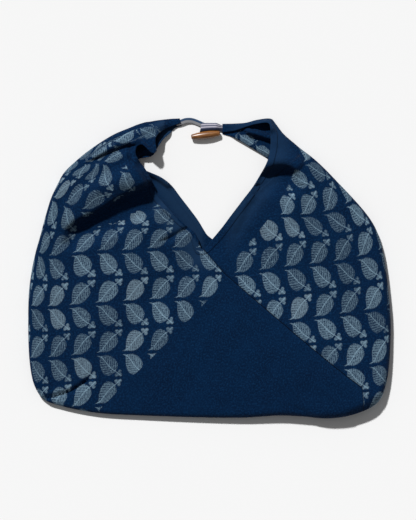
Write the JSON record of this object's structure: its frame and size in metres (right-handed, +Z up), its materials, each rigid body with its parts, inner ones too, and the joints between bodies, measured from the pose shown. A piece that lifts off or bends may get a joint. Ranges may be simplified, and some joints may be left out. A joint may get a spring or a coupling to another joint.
{
  "type": "horn bag",
  "caption": "Flat-lying cloth horn bag with a V-shaped mouth, two soft horns, a tape loop and a wooden toggle that close into a handle.",
  "frame": {"origin": "centre of the lying bag's outline, on the surface it lies on", "axes": "+X across the bag, from the loop's horn to the toggle's horn; +Y from the bottom to the handle; +Z up from the surface"},
  "size_m": [0.5609, 0.4648, 0.042],
  "materials": {
    "indigo_cloth": "plain-woven cotton, dyed indigo with pale leaves",
    "loop_tape": "narrow woven tape, blue-grey",
    "striped_tape": "narrow woven tape with a dark middle line and dark edges",
    "toggle_wood": "turned wood, oiled and polished"
  },
  "bodies": {
    "root": {"bag_cloth": "indigo_cloth", "loop_tape": "loop_tape", "toggle_tape": "striped_tape", "toggle": "toggle_wood"}
  },
  "joints": []
}
